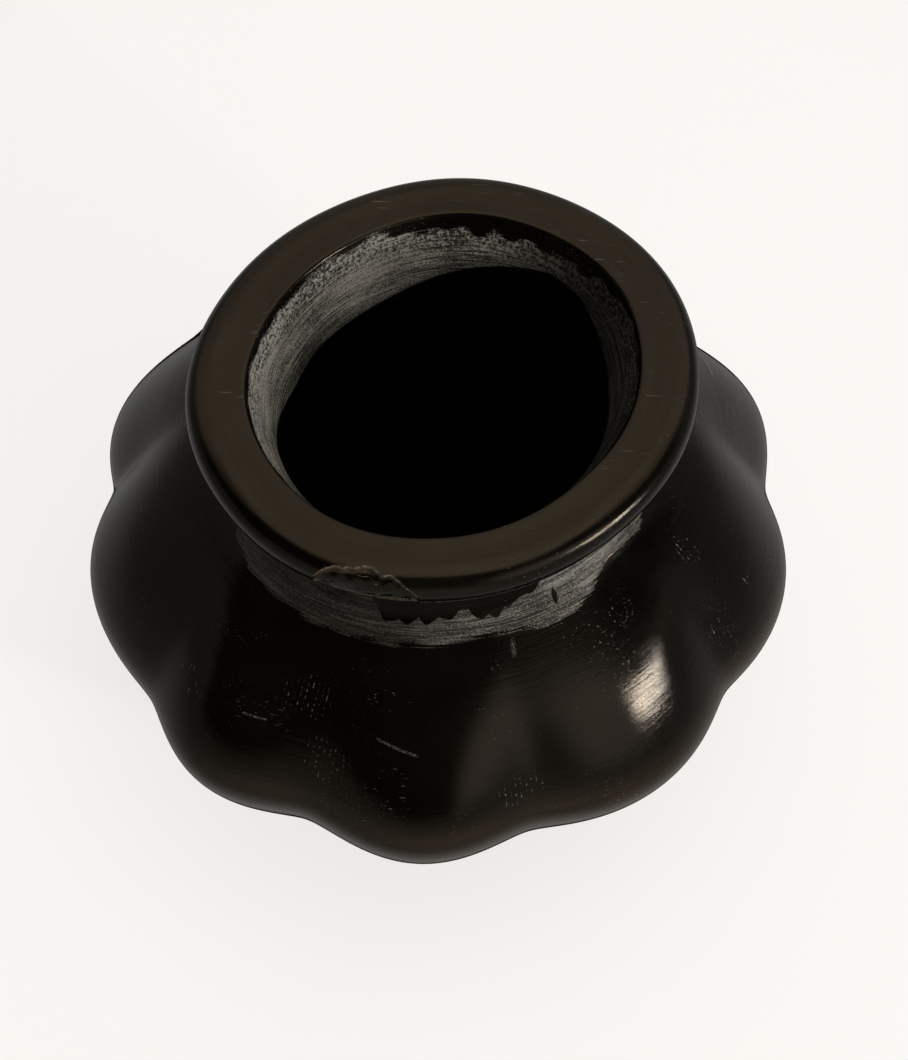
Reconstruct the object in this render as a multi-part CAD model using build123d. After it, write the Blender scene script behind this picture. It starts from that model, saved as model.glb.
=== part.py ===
from build123d import *
import math
import os

os.makedirs("parts", exist_ok=True)

# Driving sizes, in millimetres. The foot rests on z = 0 and the jar's axis is the z axis.
height = 96.0                # foot to the flat top of the rim
belly_radius = 65.8          # axis to the lobe tips at the widest ring
belly_height = 45.4          # level of the widest ring
foot_radius = 28.0           # flat underside
neck_radius = 38.2           # outside of the waisted neck
neck_height = 8.0            # from the top of the shoulder to the underside of the rim
rim_radius = 43.8            # outer edge of the rim
rim_thickness = 8.5          # underside to flat top
mouth_radius = 33.1          # inner edge of the flat top
throat_radius = 27.7         # narrowest way in
throat_depth = 14.5          # from the flat top down to the throat
mouth_edge_round = 0.9       # softened inner edge of the flat top
wall = 6.5                   # clay behind the bottom of a groove of common depth
floor_thickness = 9.0        # clay under the middle of the floor

# Lobes. The grooves were pressed by eye, so their places and depths are not quite even.
groove_turns = [8, 45, 92, 140.5, 174.5, 215, 248.5, 287, 328.5]
groove_depths = [4.8, 5.9, 4.6, 3.4, 5.5, 3.2, 3.1, 3.5, 4.4]
lobe_swells = [0.4, 0.0, 0.0, -0.5, -0.9, 1.3, 1.5, -0.2, -1.0]   # each lobe's tip past belly_radius
groove_fade = 1.36           # the higher, the sooner grooves die out above and below the widest ring

# Fullness of the profile: 2 would be an ellipse, 1 a straight cone
shoulder_fullness = 1.31
bowl_fullness = 1.52

# Coil courses. Every seam is a cone, square to the wall, luted coil on coil.
wall_courses = 5
seam_centre = 18.0           # seams fan out from a ring of this radius at the widest level
first_seam_angle = -42.0     # pat to first coil, degrees from level
last_seam_angle = 54.0       # last wall coil to neck coil

rim_seam = height - rim_thickness
shoulder_top = rim_seam - neck_height
reach = 2.0 * (belly_radius + height)


def swept_radius(level, end_level, end_radius, fullness):
    """Lobe-tip radius on the curve from the widest ring to an end level, a quarter of a super-ellipse."""
    end_share = (1 - (end_radius / belly_radius) ** fullness) ** (1 / fullness)
    share = (level - belly_height) / (end_level - belly_height) * end_share
    return belly_radius * (1 - share ** fullness) ** (1 / fullness)


def outside_radius(level):
    """Lobe-tip radius of the jar at any level under the rim."""
    if level <= belly_height:
        return swept_radius(level, 0, foot_radius, bowl_fullness)
    return swept_radius(min(level, shoulder_top), shoulder_top, neck_radius, shoulder_fullness)


def lobe_share(level):
    """How strongly the lobes show: fully at the widest ring, fading out to the foot and the neck."""
    plain = foot_radius if level < belly_height else neck_radius
    share = (outside_radius(level) - plain) / (belly_radius - plain)
    share = max(0.0, min(1.0, share))
    return (share * share * (3 - 2 * share)) ** groove_fade


def lobed_section(level):
    """Closed outline of the jar at one level, four points to a lobe."""
    points = []
    turns = groove_turns + [groove_turns[0] + 360]
    depths = groove_depths + groove_depths[:1]
    for number, swell in enumerate(lobe_swells):
        for part in (0.0, 0.2, 0.5, 0.8):
            angle = math.radians(turns[number] * (1 - part) + turns[number + 1] * part)
            depth = depths[number] * (1 - part) + depths[number + 1] * part
            full = math.sin(math.pi * part)
            radius = outside_radius(level) + lobe_share(level) * (swell * full - depth * (1 - full))
            points.append((radius * math.cos(angle), radius * math.sin(angle), level))
    return Wire([Edge.make_spline([Vector(*p) for p in points], periodic=True)])


def inside_point(level):
    """Point of the cavity wall square in from the lobe tip at one level."""
    step = 0.05
    slope = (outside_radius(level + step) - outside_radius(level - step)) / (2 * step)
    length = math.hypot(1, slope)
    common_depth = sum(groove_depths) / len(groove_depths)
    thickness = wall + common_depth * lobe_share(level)
    return (outside_radius(level) - thickness / length, level + thickness * slope / length)


def turned(outline):
    """Solid of revolution about the jar's axis from a closed outline in the x-z plane."""
    return revolve(make_face(outline), Axis.Z)


def along_seam(angle):
    """Far end of the seam line at an angle from level."""
    turn = math.radians(angle)
    return (seam_centre + reach * math.cos(turn), belly_height + reach * math.sin(turn))


def flat_outline(points):
    return Plane.XZ * Polyline(*points, close=True)


# Outside of pat, wall and neck in one smooth lobed body
shoulder_rise = shoulder_top - belly_height
under_belly = [belly_height * part for part in (0.0, 0.05, 0.2, 0.43, 0.7, 1.0)]
over_belly = [belly_height + shoulder_rise * part for part in (0.33, 0.66, 0.92)]
on_neck = [shoulder_top + neck_height * 0.45, rim_seam]
outside = Solid.make_loft([lobed_section(level) for level in under_belly + over_belly + on_neck])

# Cavity, from the floor up through the throat and out of the mouth
throat_level = height - throat_depth
funnel_slope = (mouth_radius - throat_radius) / throat_depth
low_points = [inside_point(belly_height * part) for part in (0.2, 0.55, 1.0)]
high_points = [inside_point(belly_height + shoulder_rise * part) for part in (0.4, 0.72, 0.95)]
cavity_points = [(0, floor_thickness)] + low_points + high_points + [(throat_radius, throat_level)]
lip_run = throat_radius - high_points[-1][0]
lip_rise = throat_level - high_points[-1][1]
cavity_side = Spline(*cavity_points, tangents=((1, 0), (lip_run, lip_rise)))
above = (mouth_radius + funnel_slope * throat_depth, height + throat_depth)
cavity_rest = Polyline((throat_radius, throat_level), above, (0, above[1]), (0, floor_thickness))
cavity = turned(Plane.XZ * (cavity_side + cavity_rest))

shell = outside - cavity

# The shell is parted along the seams, so each coil meets the next over its whole face
centre = (seam_centre, belly_height)
on_axis = (0, belly_height)
turn_step = (last_seam_angle - first_seam_angle) / wall_courses
seam_angles = [first_seam_angle + turn_step * number for number in range(wall_courses + 1)]

pieces = {}
below_seams = flat_outline([on_axis, centre, along_seam(seam_angles[0]), (reach * 2, -reach), (0, -reach)])
pieces["base_pat"] = shell & turned(below_seams)

for number in range(wall_courses):
    low_end = along_seam(seam_angles[number])
    high_end = along_seam(seam_angles[number + 1])
    course = turned(flat_outline([centre, low_end, high_end]))
    pieces["wall_coil_" + str(number + 1)] = shell & course

above_seams = flat_outline([on_axis, centre, along_seam(seam_angles[-1]), (0, belly_height + reach * 2)])
pieces["neck_coil"] = shell & turned(above_seams)

# Rim coil: flat top, half-round outer edge, inner face carrying on the funnel of the neck
round_radius = rim_thickness / 2
seam_inside = mouth_radius - funnel_slope * rim_thickness
rim_lines = Polyline(
    (rim_radius - round_radius, rim_seam),
    (seam_inside, rim_seam),
    (mouth_radius, height),
    (rim_radius - round_radius, height),
)
rim_edge = ThreePointArc(
    (rim_radius - round_radius, height),
    (rim_radius, height - round_radius),
    (rim_radius - round_radius, rim_seam),
)
rim_coil = turned(Plane.XZ * (rim_lines + rim_edge))
top_edges = rim_coil.edges().filter_by(GeomType.CIRCLE).group_by(Axis.Z)[-1]
pieces["rim_coil"] = fillet(top_edges.sort_by(SortBy.RADIUS)[0], mouth_edge_round)

for name, piece in pieces.items():
    export_step(piece, os.path.join("parts", name + ".step"))
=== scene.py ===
import math

import bpy
import numpy as np
from mathutils import Matrix, Vector


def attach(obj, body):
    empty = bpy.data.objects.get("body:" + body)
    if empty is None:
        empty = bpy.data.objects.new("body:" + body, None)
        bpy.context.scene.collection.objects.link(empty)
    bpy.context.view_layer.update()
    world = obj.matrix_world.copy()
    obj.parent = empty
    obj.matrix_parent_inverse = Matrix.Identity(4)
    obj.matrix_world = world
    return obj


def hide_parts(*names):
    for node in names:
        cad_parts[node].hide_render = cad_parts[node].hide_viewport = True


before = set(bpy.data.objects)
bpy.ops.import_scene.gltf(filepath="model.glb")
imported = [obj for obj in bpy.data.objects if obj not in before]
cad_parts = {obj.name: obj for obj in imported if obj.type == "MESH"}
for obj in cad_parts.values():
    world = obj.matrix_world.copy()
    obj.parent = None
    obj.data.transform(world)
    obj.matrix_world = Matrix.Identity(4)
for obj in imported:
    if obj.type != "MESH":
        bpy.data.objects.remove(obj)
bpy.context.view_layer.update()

# Sizes of the jar in millimetres, the same as in the part's source
HEIGHT = 96.0  # foot to the flat top of the rim
BELLY_RADIUS = 65.8  # axis to the lobe tips at the widest ring
BELLY_HEIGHT = 45.4  # level of the widest ring
FOOT_RADIUS = 28.0  # flat underside
NECK_RADIUS = 38.2  # outside of the waisted neck
NECK_HEIGHT = 8.0  # from the top of the shoulder to the underside of the rim
RIM_RADIUS = 43.8  # outer edge of the rim
RIM_THICKNESS = 8.5  # underside to flat top
MOUTH_RADIUS = 33.1  # inner edge of the flat top
THROAT_RADIUS = 27.7  # narrowest way in
THROAT_DEPTH = 14.5  # from the flat top down to the throat
MOUTH_EDGE_ROUND = 0.9  # softened inner edge of the flat top
WALL = 6.5  # clay behind the bottom of a groove of common depth
FLOOR_THICKNESS = 9.0  # clay under the middle of the floor

# Lobes: places and depths of the grooves between them, and each lobe's tip past the belly's radius
GROOVE_TURNS = [8, 45, 92, 140.5, 174.5, 215, 248.5, 287, 328.5]
GROOVE_DEPTHS = [4.8, 5.9, 4.6, 3.4, 5.5, 3.2, 3.1, 3.5, 4.4]
LOBE_SWELLS = [0.4, 0.0, 0.0, -0.5, -0.9, 1.3, 1.5, -0.2, -1.0]
GROOVE_FADE = 1.36

# Fullness of the profile, and the seams between the coil courses, in degrees from level
SHOULDER_FULLNESS = 1.31
BOWL_FULLNESS = 1.52
WALL_COURSES = 5
SEAM_CENTRE = 18.0  # the seams fan out from a ring of this radius at the widest level
FIRST_SEAM = -42.0
LAST_SEAM = 54.0

RIM_SEAM = HEIGHT - RIM_THICKNESS
SHOULDER_TOP = RIM_SEAM - NECK_HEIGHT
THROAT_LEVEL = HEIGHT - THROAT_DEPTH
FUNNEL_SLOPE = (MOUTH_RADIUS - THROAT_RADIUS) / THROAT_DEPTH

# What the hand left: rim and mouth are a little oval and off the axis, and every edge is softened
RIM_OVAL = 0.040
RIM_OVAL_TURN = math.radians(38.2)
RIM_SHIFT = (0.5, 0.2)
MOUTH_OVAL = 0.055
MOUTH_OVAL_TURN = math.radians(44.6)
MOUTH_SHIFT = (0.6, -0.2)
OVAL_LEVELS = (64.0, 86.0)  # round up to the first level, fully oval from the second
EDGE_EASE = 2.6  # spread of the rounding at the widest ring, up and down
EDGE_RADIUS = BELLY_RADIUS + 0.35  # widest ring before that rounding
NECK_BLEND = 3.6  # size of the curve from shoulder to neck
NECK_SWEEP = 24.0  # that curve is at full strength this far above the widest ring
GROOVE_SOFTNESS = 0.25  # roundness of the groove bottoms
GROOVE_DEEPENED = 1.15  # gives back about half of the depth that the rounding takes
FOOT_SOFTNESS = 0.7  # roundness of the edge of the foot
FOOT_ROWS_RADIUS = 40.0  # inside this radius the rows are rings of the foot, outside it they fan out
FLOOR_RADII = [0.0, 8.0, 16.0, 22.0, 27.0]
FLOOR_BOW = 0.0011  # rise of the floor per square millimetre of radius
FLOOR_CORNER = 30.0  # beyond this radius the floor turns up into the wall

# Fineness of the meshes: columns round the jar and rows up it
COLUMNS = 540
ROWS_PER_COURSE = 22
INNER_ROWS_PER_COURSE = 8
NECK_ROWS = 24
FLOOR_ROWS = 22
UNDER_THROAT_ROWS = 16
FUNNEL_ROWS = 8
FOOT_FLAT_SHARES = [0.1, 0.25, 0.4, 0.52]
FOOT_TURN_SHARES = np.linspace(0.6, 0.98, 20)
MM = 0.001

# The unpolished band under the rim: pairs of a turn in degrees and the level where it begins there
RAW_EDGE = [
    (-150, 83), (-146, 78.3), (-139, 76.8), (-130, 75.9), (-121, 75.6), (-110, 75.6), (-91, 75.9),
    (-81, 76.3), (-70, 76.2), (-65, 75.3), (-57, 75.1), (-51, 76.4), (-44, 78.6), (-39, 79.2),
    (-31, 78.4), (-26, 80), (-20, 83),
]
RAW_SIDE_LEVEL = 83.0
RAW_BACK_TURN = 95.0
RAW_BACK_SPREAD = (30.0, 60.0)
RAW_BACK_LEVEL = 78.5

# Black slip that ran from the rim over the band: turns, and the level it reached at each of them
SLIP_EDGE = [
    (-116, 84.5), (-114, 80.8), (-112, 84), (-107, 83.5), (-105, 80.2), (-103, 78.7), (-98, 79), (-92, 79.2),
    (-87, 79.4), (-85, 80.8), (-81, 78.8), (-75, 78.6), (-72.5, 79.8), (-66, 80.2), (-63, 82), (-60, 84.5),
]
SLIP_SIDE_LEVEL = 85.4
DROP_TURN, DROP_LEVEL, DROP_WIDTH, DROP_HEIGHT = -60.0, 78.3, 0.75, 1.3
DROP_EDGE_SCALE = 0.6

# The slip hangs in rounded drips of this depth, one every so many degrees, to both sides of a middle
DRIP_DEPTH = 0.95
DRIP_STEP = 5.2
DRIP_RAISE = 0.7
DRIP_MIDDLE = -88.0
DRIP_SPREAD = (27.0, 33.0)

# Painted shade and shadow inside the mouth: turns, and the level up to which the funnel is painted black
# there
PAINTED_SHADOW_EDGE = [
    (-180, 83.2), (-174, 84.2), (-160, 86), (-60, 86), (10, 84), (28, 86), (42, 88.4), (55, 89.2), (69, 87.6),
    (87, 85.6), (97, 84.3), (112, 82.9), (130, 82.1), (164, 81.3), (180, 83.2),
]

# Brightness of the raw clay on the band and in the mouth, with painted light towards the lit side: least,
# added, its palest turn and the spread round it
BAND_PAINTED_LIGHT = (0.42, 1.05, -57.0, (4, 50))
MOUTH_PAINTED_LIGHT = (0.35, 1.20, 142.0, (62, 100))

# Scuffed places: turn, level, half their spread round and up the jar
SCUFFS = [
    (-115.0, 65.0, 8.0, 5.0), (-109.0, 56.0, 6.0, 5.0), (-75.0, 53.0, 6.5, 4.0), (-24.0, 70.5, 3.6, 4.5),
    (-18.0, 58.4, 2.0, 1.6), (-30.0, 57.1, 1.6, 1.6), (-137.0, 58.0, 6.0, 3.0), (60.0, 62.0, 8.0, 5.0),
    (-200.0, 58.0, 8.0, 4.0),
]
NICKS = [(-72.7, 73.9, 0.7, 1.2)]

# Scraped lines: turn and level of the middle, half the length in degrees, rise per degree, half the width
SCRAPES = [(-96.3, 62.5, 4.1, -0.16, 0.26), (-122.5, 60.0, 2.4, 0.05, 0.22), (28.0, 63.0, 4.0, -0.2, 0.24)]

# The belly is faintly browner below these levels, a painted reflection of a brown table top
LOW_LEVELS = (45.5, 52.5)

# Values of a mark where there is no such mark, and what keeps the brush strokes of each surface apart
NO_SLIP = 9.0
NO_PAINTED_SHADE = -9.0
INSIDE_STROKES_FROM = 300.0
RIM_STROKES_FROM = 600.0


# Forms of the jar

def smooth_step(value, low, high):
    share = np.clip((value - low) / (high - low), 0, 1)
    return share * share * (3 - 2 * share)


def hand_waves(turn, level, seed, count, most_turns, size, wave_levels=50.0):
    """Slow unevenness of hand building: a seeded sum of waves round and up the jar, in millimetres."""
    pick = np.random.default_rng(seed)
    total = np.zeros(np.broadcast(turn, level).shape)
    for _ in range(count):
        around = pick.integers(1, most_turns + 1)
        upward = pick.uniform(-1, 1) * 2 * math.pi / wave_levels
        phase = pick.uniform(0, 2 * math.pi)
        total = total + np.cos(around * turn + upward * level + phase)
    return size * total / math.sqrt(count)


def half_height(rise, end_radius, fullness):
    """Height of the quarter super-ellipse that starts at the widest ring and has a radius at a rise."""
    return rise / (1 - (end_radius / EDGE_RADIUS) ** fullness) ** (1 / fullness)


LOW_HALF = half_height(BELLY_HEIGHT, FOOT_RADIUS, BOWL_FULLNESS)
HIGH_HALF = half_height(SHOULDER_TOP - BELLY_HEIGHT, NECK_RADIUS, SHOULDER_FULLNESS)


def sharp_belly_radius(level):
    """Lobe-tip radius of foot, belly and shoulder, before the neck: two quarters of super-ellipses."""
    drop = np.clip((BELLY_HEIGHT - level) / LOW_HALF, 0, 1)
    lower = EDGE_RADIUS * (1 - drop ** BOWL_FULLNESS) ** (1 / BOWL_FULLNESS)
    rise = np.clip((level - BELLY_HEIGHT) / HIGH_HALF, 0, 0.999)
    upper = EDGE_RADIUS * (1 - rise ** SHOULDER_FULLNESS) ** (1 / SHOULDER_FULLNESS)
    return np.where(level <= BELLY_HEIGHT, lower, upper)


def bowl_drop(radius):
    """Depth of the bowl below the widest ring at a radius."""
    return LOW_HALF * (1 - (radius / EDGE_RADIUS) ** BOWL_FULLNESS) ** (1 / BOWL_FULLNESS)


def belly_only_radius(level):
    """Lobe-tip radius before the neck, with the turn at the widest ring rounded over a few millimetres."""
    level = np.asarray(level, float)
    steps = np.linspace(-2, 2, 13)
    weights = np.exp(-0.5 * steps ** 2)
    total = 0.0
    for step, weight in zip(steps, weights / weights.sum()):
        total = total + weight * sharp_belly_radius(np.maximum(level + step * EDGE_EASE, 0.0))
    return total


def tip_radius(level):
    """Lobe-tip radius, with the shoulder sweeping up into the neck."""
    level = np.asarray(level, float)
    plain = belly_only_radius(level)
    over = plain - NECK_RADIUS
    swept = NECK_RADIUS + 0.5 * (over + np.sqrt(over ** 2 + NECK_BLEND ** 2))
    near_neck = smooth_step(level, BELLY_HEIGHT, BELLY_HEIGHT + NECK_SWEEP)
    return plain + (swept - plain) * near_neck


def lobe_share(level):
    """How strongly the lobes show: fully at the widest ring, fading out to the foot and the neck."""
    level = np.asarray(level, float)
    least = np.where(level < BELLY_HEIGHT, FOOT_RADIUS, NECK_RADIUS)
    share = (belly_only_radius(level) - least) / (BELLY_RADIUS - least)
    return smooth_step(share, 0.0, 1.0) ** GROOVE_FADE


def lobe_offset(turn):
    """Offset of the widest ring: inward at the grooves, and the uneven fullness of the lobes."""
    first = GROOVE_TURNS[0]
    edges = np.array(GROOVE_TURNS + [first + 360], float)
    depths = np.array(GROOVE_DEPTHS + GROOVE_DEPTHS[:1])
    degrees = (np.degrees(turn) - first) % 360 + first
    place = np.clip(np.searchsorted(edges, degrees, side="right") - 1, 0, len(edges) - 2)
    part = (degrees - edges[place]) / (edges[place + 1] - edges[place])
    fullness = np.sin(math.pi * part) ** 2
    swell = np.sqrt(fullness + GROOVE_SOFTNESS ** 2)
    swell = swell / math.sqrt(1 + GROOVE_SOFTNESS ** 2)
    depth = depths[place] * (1 - part) + depths[place + 1] * part
    return np.array(LOBE_SWELLS)[place] * fullness - GROOVE_DEEPENED * depth * (1 - swell)


def outer_radius(level, turn):
    """Outside of the jar under the rim, before the oval."""
    uneven = hand_waves(turn, level, seed=11, count=9, most_turns=7, size=0.12, wave_levels=60.0)
    return tip_radius(level) + lobe_share(level) * lobe_offset(turn) + uneven * smooth_step(level, 0, 20)


def made_oval(radius, turn, weight):
    """Point across and away for a radius and turn, drawn into the rim's oval, or inside into the mouth's."""
    outward = np.clip((radius - MOUTH_RADIUS) / (RIM_RADIUS - MOUTH_RADIUS), 0, 1)
    oval = RIM_OVAL * np.cos(2 * (turn - RIM_OVAL_TURN)) * outward
    oval = oval + MOUTH_OVAL * np.cos(2 * (turn - MOUTH_OVAL_TURN)) * (1 - outward)
    shift_across = RIM_SHIFT[0] * outward + MOUTH_SHIFT[0] * (1 - outward)
    shift_away = RIM_SHIFT[1] * outward + MOUTH_SHIFT[1] * (1 - outward)
    drawn = radius * (1 + weight * oval)
    return drawn * np.cos(turn) + weight * shift_across, drawn * np.sin(turn) + weight * shift_away


def to_points(radius, level, turn):
    """Points in millimetres from radius, level and turn."""
    radius, level, turn = np.broadcast_arrays(radius, level, turn)
    across, away = made_oval(radius, turn, smooth_step(level, *OVAL_LEVELS))
    return np.stack([across, away, level], axis=-1)


# The outside is sought between these distances from the seam centre, halved this often
NEAREST_WALL, FARTHEST_WALL = 8.0, 76.0
HALVINGS = 34


def outer_on_seam(angle, turn):
    """Radius and level where a line from the seam centre, at an angle from level, meets the outside."""
    shape = np.broadcast(angle, turn).shape
    near = np.full(shape, NEAREST_WALL)
    far = np.full(shape, FARTHEST_WALL)
    for _ in range(HALVINGS):
        middle = 0.5 * (near + far)
        radius = SEAM_CENTRE + middle * np.cos(angle)
        level = BELLY_HEIGHT + middle * np.sin(angle)
        inside = radius < outer_radius(level, turn)
        near = np.where(inside, middle, near)
        far = np.where(inside, far, middle)
    return SEAM_CENTRE + near * np.cos(angle), BELLY_HEIGHT + near * np.sin(angle)


def inner_line():
    """Radius and level of the cavity wall from the middle of the floor to the throat."""
    lowest = 7.5
    highest = BELLY_HEIGHT + 0.95 * (SHOULDER_TOP - BELLY_HEIGHT)
    count = 160
    step = 0.05
    common_depth = max(GROOVE_DEPTHS) * 0.7
    level = np.linspace(lowest, highest, count)
    slope = (belly_only_radius(level + step) - belly_only_radius(level - step)) / (2 * step)
    length = np.hypot(1, slope)
    thickness = WALL + common_depth * lobe_share(level)
    radius = belly_only_radius(level) - thickness / length
    height = level + thickness * slope / length
    floor_radius = np.array(FLOOR_RADII)
    floor_level = FLOOR_THICKNESS + FLOOR_BOW * floor_radius ** 2
    past_floor = (radius > FLOOR_CORNER) | (height > BELLY_HEIGHT)
    radius = np.concatenate([floor_radius, radius[past_floor], [THROAT_RADIUS]])
    height = np.concatenate([floor_level, height[past_floor], [THROAT_LEVEL]])
    return radius, height


# Rows of points round the jar, outside and inside

def outside_rows(turn, seam_angles):
    """Radius and level of the rows of foot, pat, courses and neck."""
    foot_drop = bowl_drop(FOOT_ROWS_RADIUS)
    lowest_angle = math.degrees(math.atan2(-foot_drop, FOOT_ROWS_RADIUS - SEAM_CENTRE))
    stops = [lowest_angle] + list(seam_angles)
    spans = zip(stops[:-1], stops[1:])
    fans = [np.linspace(low, high, ROWS_PER_COURSE, endpoint=False) for low, high in spans]
    angles = np.radians(np.concatenate(fans + [[LAST_SEAM]]))[:, None]
    side_radius, side_level = outer_on_seam(angles, turn)

    foot_share = np.concatenate([FOOT_FLAT_SHARES, FOOT_TURN_SHARES])[:, None]
    foot_radius = foot_share * side_radius[:1]
    bowl_level = BELLY_HEIGHT - bowl_drop(foot_share * FOOT_ROWS_RADIUS)
    foot_level = FOOT_SOFTNESS * np.log1p(np.exp(bowl_level / FOOT_SOFTNESS))
    foot_level = foot_level * side_level[:1] / (BELLY_HEIGHT - foot_drop)

    neck_share = np.linspace(0, 1, NECK_ROWS + 1)[1:, None]
    neck_level = side_level[-1:] + (RIM_SEAM - side_level[-1:]) * neck_share
    neck_radius = outer_radius(neck_level, turn)
    return (np.concatenate([foot_radius, side_radius, neck_radius]),
            np.concatenate([foot_level, side_level, neck_level]))


def inside_rows(seam_angles):
    """Radius and level of the rows of floor, courses, throat and funnel."""
    line_radius, line_level = inner_line()
    line_angle = np.arctan2(line_level - BELLY_HEIGHT, line_radius - SEAM_CENTRE)
    line_reach = np.hypot(line_level - BELLY_HEIGHT, line_radius - SEAM_CENTRE)
    order = np.argsort(line_angle)
    stops = [np.degrees(line_angle[0]) + 2.0] + list(seam_angles)
    counts = [FLOOR_ROWS] + [INNER_ROWS_PER_COURSE] * WALL_COURSES
    fans = [np.linspace(low, high, count, endpoint=False)
            for low, high, count in zip(stops[:-1], stops[1:], counts)]
    fans = fans + [np.linspace(LAST_SEAM, np.degrees(line_angle[-1]), UNDER_THROAT_ROWS)]
    angles = np.radians(np.concatenate(fans))
    reach = np.interp(angles, line_angle[order], line_reach[order])
    funnel_level = np.linspace(THROAT_LEVEL, RIM_SEAM, FUNNEL_ROWS + 1)[1:]
    funnel_radius = THROAT_RADIUS + FUNNEL_SLOPE * (funnel_level - THROAT_LEVEL)
    radius = np.concatenate([SEAM_CENTRE + reach * np.cos(angles), funnel_radius])
    level = np.concatenate([BELLY_HEIGHT + reach * np.sin(angles), funnel_level])
    return radius[:, None], level[:, None]


def inside_unevenness(radius, level, turn):
    """Hand waves of the inside wall, none in the middle of the floor and none at the rim's seam."""
    waves = hand_waves(turn, level, seed=23, count=8, most_turns=9, size=0.22, wave_levels=30.0)
    return waves * smooth_step(radius, 4, 20) * (1 - smooth_step(level, 80.0, RIM_SEAM - 0.5))


turn = np.linspace(0, 2 * math.pi, COLUMNS, endpoint=False)[None, :]
seam_angles = np.linspace(FIRST_SEAM, LAST_SEAM, WALL_COURSES + 1)

outer_r, outer_z = outside_rows(turn, seam_angles)
outer = to_points(outer_r, outer_z, turn)
first_seam_row = len(FOOT_FLAT_SHARES) + len(FOOT_TURN_SHARES) + ROWS_PER_COURSE
seam_rows = [first_seam_row + ROWS_PER_COURSE * number for number in range(WALL_COURSES + 1)]

inner_r, inner_z = inside_rows(seam_angles)
inner_r = np.maximum(inner_r + inside_unevenness(inner_r, inner_z, turn), 0.5)
inner = to_points(inner_r, inner_z, turn)
inner_seam_rows = [FLOOR_ROWS + INNER_ROWS_PER_COURSE * number for number in range(WALL_COURSES + 1)]


def along_rows(points):
    """Distance along the profile from the first row, averaged round the jar."""
    steps = np.linalg.norm(np.diff(points, axis=0), axis=2).mean(axis=1)
    return np.concatenate([[0.0], np.cumsum(steps)])


def unit(normal):
    return normal / np.maximum(np.linalg.norm(normal, axis=2, keepdims=True), 1e-9)


def grid_normals(points):
    """Normals of a grid of rows that close round the jar."""
    around = np.roll(points, -1, axis=1) - np.roll(points, 1, axis=1)
    return unit(np.cross(around, np.gradient(points, axis=0)))


def grid_normals_closed(points):
    """Normals of a grid that closes round the jar and round its own section, whose first row is a corner."""
    around = np.roll(points, -1, axis=1) - np.roll(points, 1, axis=1)
    along = np.roll(points, -1, axis=0) - np.roll(points, 1, axis=0)
    along[0] = points[0] - points[-1]
    return unit(np.cross(around, along))


# Marks that the material reads from the mesh

def turn_gap(turn, middle):
    """Degrees between a turn and a middle turn, 0 to 180."""
    return np.abs((np.degrees(turn) - middle + 180) % 360 - 180)


def signed_degrees(turn):
    return (np.degrees(turn) + 180) % 360 - 180


def along_edge(turn, edge, elsewhere=None):
    """Value at a turn between the pairs of an edge. Past its ends it is elsewhere, or the end's own value."""
    turns, values = zip(*edge)
    return np.interp(signed_degrees(turn), turns, values, left=elsewhere, right=elsewhere)


def raw_edge_level(turn):
    """Level on the shoulder where the unpolished band round the neck begins: low in front, high elsewhere."""
    back = 1 - smooth_step(turn_gap(turn, RAW_BACK_TURN), *RAW_BACK_SPREAD)
    level = along_edge(turn, RAW_EDGE) - (RAW_SIDE_LEVEL - RAW_BACK_LEVEL) * back
    return level + hand_waves(turn, 0.0, seed=31, count=12, most_turns=40, size=0.22)


def slip_edge_level(turn):
    """Level above which black slip ran down from the rim over the raw band."""
    level = along_edge(turn, SLIP_EDGE, SLIP_SIDE_LEVEL)
    swing = signed_degrees(turn) / DRIP_STEP * math.pi
    swing = swing + hand_waves(turn, 0.0, seed=37, count=8, most_turns=24, size=0.9)
    drips = hand_waves(turn, 0.0, seed=59, count=12, most_turns=130, size=0.28)
    drips = drips + DRIP_DEPTH * (DRIP_RAISE - np.sqrt(np.abs(np.sin(swing))))
    return level + drips * (1 - smooth_step(turn_gap(turn, DRIP_MIDDLE), *DRIP_SPREAD))


def past_drop(level, turn):
    """Millimetres from the edge of one stray drop of slip."""
    across = turn_gap(turn, DROP_TURN) / DROP_WIDTH
    upward = (level - DROP_LEVEL) / DROP_HEIGHT
    return DROP_EDGE_SCALE * (np.hypot(across, upward) - 1)


def near_places(level, turn, places):
    """1 in the middle of the listed places, 0 outside them."""
    total = np.zeros(np.broadcast(level, turn).shape)
    for middle, height, half_turn, half_level in places:
        far = np.hypot(turn_gap(turn, middle) / half_turn, (level - height) / half_level)
        total = np.maximum(total, 1 - smooth_step(far, 0.45, 1.0))
    return total


def below_painted_shadow(level, turn):
    """Millimetres below the upper edge of the painted shade inside the mouth."""
    return along_edge(turn, PAINTED_SHADOW_EDGE) - level


def paleness(turn, least, added, palest_turn, spread):
    """Brightness of raw clay: least, and painted light added within a spread of degrees round its palest
    turn.
    """
    return least + added * (1 - smooth_step(turn_gap(turn, palest_turn), *spread))


# Each mark has its values on the outside rows and on the inside rows
outer_slip = np.minimum(slip_edge_level(turn) - outer_z, past_drop(outer_z, turn))
inner_deep = below_painted_shadow(inner_z, turn)
outer_zero = np.zeros_like(outer_z)
inner_zero = np.zeros_like(inner_deep)

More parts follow.
